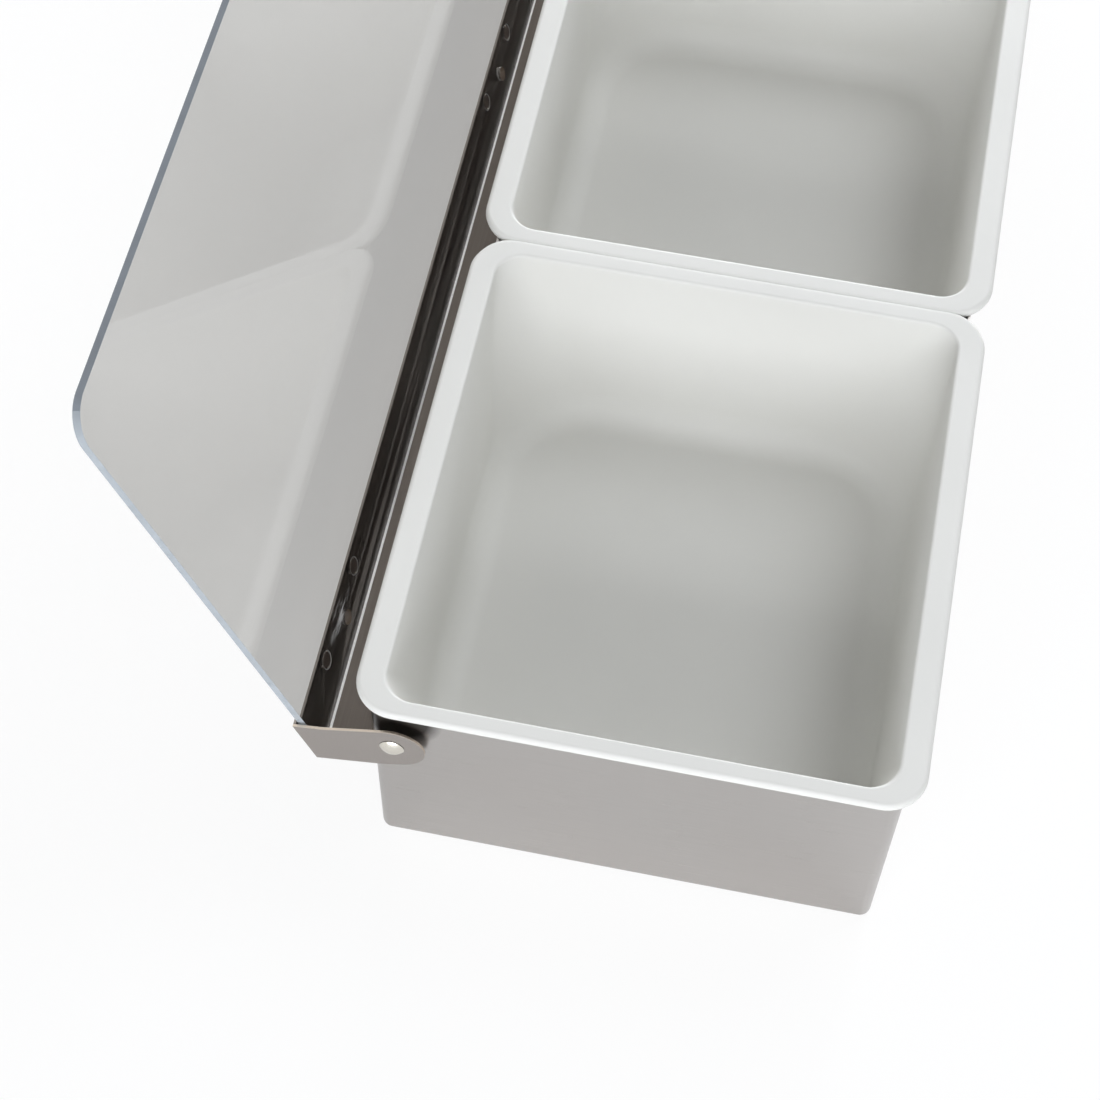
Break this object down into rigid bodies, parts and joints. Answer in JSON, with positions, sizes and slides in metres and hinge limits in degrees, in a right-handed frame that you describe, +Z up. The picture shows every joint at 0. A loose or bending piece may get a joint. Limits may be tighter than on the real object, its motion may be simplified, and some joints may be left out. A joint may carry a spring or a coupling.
{
  "type": "condiment caddy",
  "caption": "Long steel tray holding lift-out tubs side by side, under a clear lid that swings back on a riveted steel bracket.",
  "frame": {"origin": "middle of the tray's flat base", "axes": "+Z up, +X along the tray to the right, front toward -Y, hinge at the back"},
  "size_m": [0.4682, 0.2005, 0.1789],
  "materials": {
    "tray_steel": "brushed",
    "bracket_steel": "bright rolled",
    "rivet_steel": "polished",
    "washer_nylon": "natural nylon",
    "tub_plastic": "satin white polypropylene",
    "clear_sheet": "clear polished sheet"
  },
  "bodies": {
    "caddy": {"tray": "tray_steel", "tub_left": "tub_plastic", "tub_middle": "tub_plastic", "tub_right": "tub_plastic", "pivot_rivet_left": "rivet_steel", "pivot_rivet_right": "rivet_steel", "pivot_washer_left": "washer_nylon", "pivot_washer_right": "washer_nylon"},
    "lid": {"lid_bracket": "bracket_steel", "lid_sheet": "clear_sheet", "sheet_rivet_1": "rivet_steel", "sheet_rivet_2": "rivet_steel", "sheet_rivet_3": "rivet_steel", "sheet_rivet_4": "rivet_steel", "sheet_rivet_5": "rivet_steel", "sheet_rivet_6": "rivet_steel"}
  },
  "joints": [
    {"name": "lid_hinge", "type": "hinge", "parent": "caddy", "child": "lid", "pos_m": [0, 0.0614, 0.0554], "axis": [1, 0, 0], "range_deg": [0, 111]}
  ]
}
